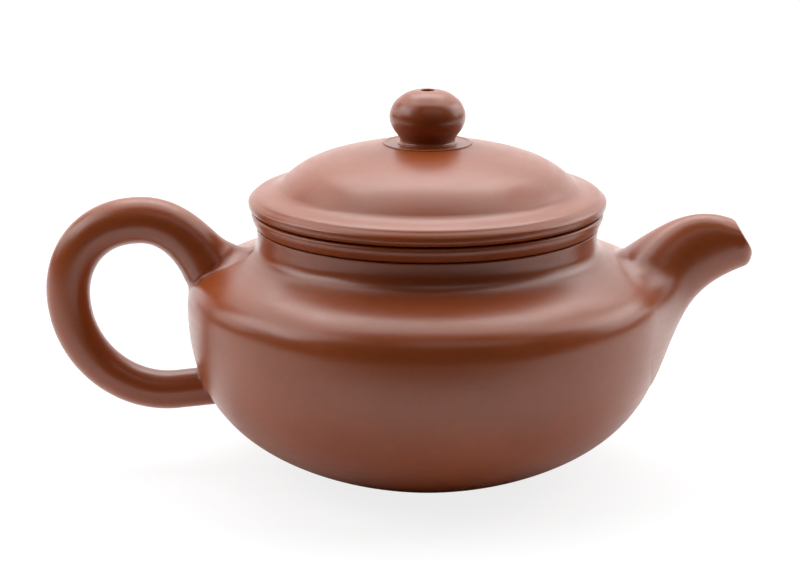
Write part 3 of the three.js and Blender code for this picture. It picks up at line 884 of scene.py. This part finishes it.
lidShape = {
    "underside": 56.2,
    "radius": 37.9,
    "innerRadius": 27.4,
    "bevel": 1.25,
    "bevelTop": 57.4,
    "widest": 57.85,
    "bend": (36.7, 59.25),
    "bendSlope": 47.0,
    "brim": (34.5, 60.05),
    "brimSlope": 13.0,
    "seam": 35.0,
    "seat": 59.15,
    "domeFoot": (33.4, 59.45),
    "footAngle": 45.0,
    "footPull": 9.2,
    "domeTop": (9.45, 69.92),
    "topAngle": 12.0,
    "topPull": 16.0,
    "valleyEnd": 31.5,
    "domeWall": 3.0,
    "domeNotch": (0.12, 0.15),
    "bore": 1.15,
    "collarRadius": 9.35,
    "collarTop": 70.18,
    "collarDish": 0.2,
    "collarThickness": 1.1,
    "collarEdge": 0.18,
    "collarGap": 0.05,
    "flangeOuter": 30.5,
    "flangeThickness": 2.8,
    "flangeDepth": 7.6,
    "flangeTaper": 0.5,
    "flangeRound": 0.6,
}


def domeLine():
    v = lidShape
    foot, top = v["domeFoot"], v["domeTop"]
    return bezier(foot, ahead(foot, 180 - v["footAngle"], v["footPull"]),
                  ahead(top, -v["topAngle"], v["topPull"]), top, 90)


# The brim from the edge's bend to the dome, and the rest of the dome
def brimLines(dome):
    v = lidShape
    bend, brim, down, slope = v["bend"], v["brim"], v["bendSlope"], v["brimSlope"]
    start = int(np.argmax(dome[:, 0] < v["valleyEnd"]))
    way = dome[start + 1] - dome[start - 1]
    way /= np.linalg.norm(way)
    outer = bezier(bend, ahead(bend, 180 - down, 0.5), ahead(brim, -slope, 1.1), brim, 16)[1:-1]
    inner = bezier(brim, ahead(brim, 180 - slope, 0.9), dome[start] - way * 1.3, dome[start], 26)
    return np.vstack([outer, inner]), dome[start + 1:]


def lidPieces():
    v = lidShape
    radius, under, seat, bend = v["radius"], v["underside"], v["seat"], v["bend"]
    dome = domeLine()
    valley, upper = brimLines(dome)
    seam = int(np.argmax(valley[:, 0] < v["seam"]))
    edge = bezier((radius, v["widest"]), (radius, v["widest"] + 0.6),
                  ahead(bend, -v["bendSlope"], 0.55), bend, 14)
    bevel = bezier((radius - v["bevel"], under), (radius - v["bevel"] * 0.66, under),
                   (radius, v["bevelTop"] - 0.6), (radius, v["bevelTop"]), 14)
    rim = turned("lidRim", np.vstack([
        [[v["innerRadius"], under]], bevel, edge, valley[:seam + 1],
        [[valley[seam, 0], seat]], [[v["innerRadius"], seat]]]))
    place(rim, "lid", "lid_rim")

    outside = np.vstack([valley[seam:], upper])
    inside = sideways(dome, v["domeWall"])
    inside = inside[inside[:, 1] > seat + 0.3]
    footRadius = v["domeFoot"][0] - v["domeWall"] / math.sin(math.radians(v["footAngle"]))
    (topRadius, topHeight), bore, (notchWidth, notchHeight) = v["domeTop"], v["bore"], v["domeNotch"]
    collarSeat = v["collarTop"] - v["collarThickness"] - v["collarGap"]
    cap = turned("lidDome", np.vstack([
        [[footRadius, seat - 0.02]], [[outside[0, 0], seat - 0.02]], outside,
        rounded((topRadius, topHeight - notchHeight), notchWidth, notchHeight, 90, 180, 3)[1:],
        [[topRadius - notchWidth, collarSeat]], [[bore, collarSeat]],
        [[bore, collarSeat - v["domeWall"] + 0.3]], inside[::-1]]))
    place(cap, "lid", "lid_dome")

    curve, collarRadius, high = v["collarEdge"], v["collarRadius"], v["collarTop"]
    low, dish, corner = high - v["collarThickness"], high - v["collarDish"], collarRadius - curve
    collar = turned("knobCollar", np.vstack([
        [[bore, low]], [[collarRadius, low]],
        rounded((corner, high - curve), curve, curve, 0, 90, 5),
        bezier((corner - 0.1, high), (corner - 0.35, high),
               (corner - 0.5, dish), (corner - 1.0, dish), 8),
        [[bore, dish]]]), steps=144)
    place(collar, "lid", "knob_collar")

    outer, curve = v["flangeOuter"], v["flangeRound"]
    inner, foot = outer - v["flangeThickness"], under - v["flangeDepth"]
    flange = turned("lidFlange", np.vstack([
        rounded((inner + curve, foot + curve), curve, curve, 180, 270, 5),
        rounded((outer - v["flangeTaper"] - curve, foot + curve), curve, curve, 270, 360, 5),
        [[outer, under + 0.1]], [[inner, under + 0.1]]]), mattClay)
    place(flange, "lid", "lid_flange")


lidPieces()
print("lid made")


knobShape = {
    "sunk": 69.9,
    "foot": 6.2,
    "outline": [
        (6.35, 69.98), (6.32, 70.12), (6.05, 70.28), (5.84, 70.55), (5.84, 70.95), (6.05, 71.35),
        (6.45, 72.0), (7.2, 73.0), (7.8, 74.3), (8.05, 75.6), (7.8, 77.0), (7.0, 78.6),
        (5.9, 79.65), (4.6, 80.52), (3.2, 81.02), (2.2, 81.18), (1.65, 81.2)],
    "bore": 1.45,
    "boreTop": 80.9,
}


def knobPiece():
    v = knobShape
    ball = smoothThrough(v["outline"], 7)
    bore, sunk, top = v["bore"], v["sunk"], ball[-1, 1]
    mouth = bezier(ball[-1], (bore, top), (bore, top - 0.1), (bore, v["boreTop"]), 6)[1:]
    knob = turned("ballKnob", np.vstack([[[bore, sunk]], [[v["foot"], sunk]], ball, mouth]), steps=144)
    place(knob, "lid", "knob")


knobPiece()
print("knob made")


# Floor, light and camera

stageLook = {
    "floor": (0.9, 0.9, 0.9, 1),
    "front": -0.128,
    "back": 0.9,
    "side": 0.9,
    "shownGlow": 0.82,
    "shownShare": 0.24,
    "roomGlow": 0.04,
    "white": (1, 1, 1, 1),
}


# Lets the camera see one shader and everything else another
def splitByCamera(tree, others, camera):
    path = tree.nodes.new("ShaderNodeLightPath")
    either = addNode(tree, "ShaderNodeMixShader", {
        0: path.outputs["Is Camera Ray"], 1: others.outputs[0], 2: camera.outputs[0]})
    return either.outputs[0]


def stagePieces():
    v = stageLook
    side, front, back = v["side"], v["front"], v["back"]
    mesh = bpy.data.meshes.new("floor")
    corners = [(-side, front, 0), (side, front, 0), (side, back, 0), (-side, back, 0)]
    mesh.from_pydata(corners, [], [(0, 1, 2, 3)])
    floor = addObject("floor", mesh)
    material = bpy.data.materials.new("floor")
    material.use_nodes = True
    tree = material.node_tree
    tree.nodes.clear()
    plain = addNode(tree, "ShaderNodeBsdfDiffuse", {"Color": v["floor"]})
    glow = addNode(tree, "ShaderNodeEmission", {"Color": v["white"], "Strength": v["shownGlow"]})
    shade = [channel * v["shownShare"] for channel in v["floor"][:3]] + [1]
    faint = addNode(tree, "ShaderNodeBsdfDiffuse", {"Color": shade})
    shown = addNode(tree, "ShaderNodeAddShader", {0: glow.outputs[0], 1: faint.outputs[0]})
    addNode(tree, "ShaderNodeOutputMaterial", {"Surface": splitByCamera(tree, plain, shown)})
    mesh.materials.append(material)

    world = bpy.data.worlds.new("room")
    scene.world = world
    world.use_nodes = True
    tree = world.node_tree
    tree.nodes.clear()
    room = addNode(tree, "ShaderNodeBackground", {"Color": v["white"], "Strength": v["roomGlow"]})
    white = addNode(tree, "ShaderNodeBackground", {"Color": v["white"], "Strength": 1.0})
    addNode(tree, "ShaderNodeOutputWorld", {"Surface": splitByCamera(tree, room, white)})


def areaLight(name, spot, target, size, glow):
    lamp = bpy.data.lights.new(name, "AREA")
    lamp.shape = "RECTANGLE"
    lamp.size, lamp.size_y = size
    lamp.energy = math.pi * size[0] * size[1] * glow
    holder = bpy.data.objects.new(name, lamp)
    scene.collection.objects.link(holder)
    holder.location = spot
    holder.rotation_euler = (Vector(target) - Vector(spot)).to_track_quat("-Z", "Y").to_euler()
    return holder


# Softboxes that hang over the table, facing down: x, y, width, depth, glow
ceilingHeight = 0.70
ceilingLights = {
    "mainSoftbox": (0.0, 0.37, 0.70, 0.30, 4.859),
    "topSoftbox": (0.0, 0.07, 0.80, 0.30, 2.486),
    "backSoftbox": (0.10, 0.64, 1.0, 0.24, 3.164),
    "leftTop": (-0.56, 0.12, 0.28, 1.08, 2.147),
    "rightTop": (0.56, 0.14, 0.28, 0.56, 2.26),
    "frontTop": (0.28, -0.56, 0.84, 0.28, 0.8475),
}

# Upright panels: spot, target, width and height, glow
wallLights = {
    "leftPanel": ((-0.70, 0.0, 0.525), (0, 0.0, 0.525), (0.70, 0.35), 3.729),
    "rightPanel": ((0.70, 0.35, 0.525), (0, 0.35, 0.525), (0.70, 0.35), 3.616),
    "leftLow": ((-0.70, 0.35, 0.25), (0, 0.35, 0.25), (0.70, 0.20), 1.808),
    "rightLow": ((0.70, 0.35, 0.25), (0, 0.35, 0.25), (0.70, 0.20), 2.26),
    "backWall": ((0.0, 0.70, 0.35), (0, 0.0, 0.35), (1.4, 0.70), 1.4125),
}

cameraView = {
    "place": (-0.0058, -0.48796, 0.16527),
    "pitch": 14.69,
    "focalPixels": 2355.0,
}


def cameraPiece():
    v = cameraView
    camera = bpy.data.cameras.new("camera")
    camera.sensor_width = 36
    camera.lens = v["focalPixels"] * camera.sensor_width / 800
    holder = bpy.data.objects.new("camera", camera)
    scene.collection.objects.link(holder)
    holder.location = v["place"]
    holder.rotation_euler = (math.radians(90 - v["pitch"]), 0, 0)
    camera.clip_start, camera.clip_end = 0.01, 20
    scene.camera = holder


stagePieces()
for lightName, (x, y, lightWidth, lightDepth, lightGlow) in ceilingLights.items():
    areaLight(lightName, (x, y, ceilingHeight), (x, y, 0), (lightWidth, lightDepth), lightGlow)
for lightName, light in wallLights.items():
    areaLight(lightName, *light)
cameraPiece()
print("stage, lights and camera made")
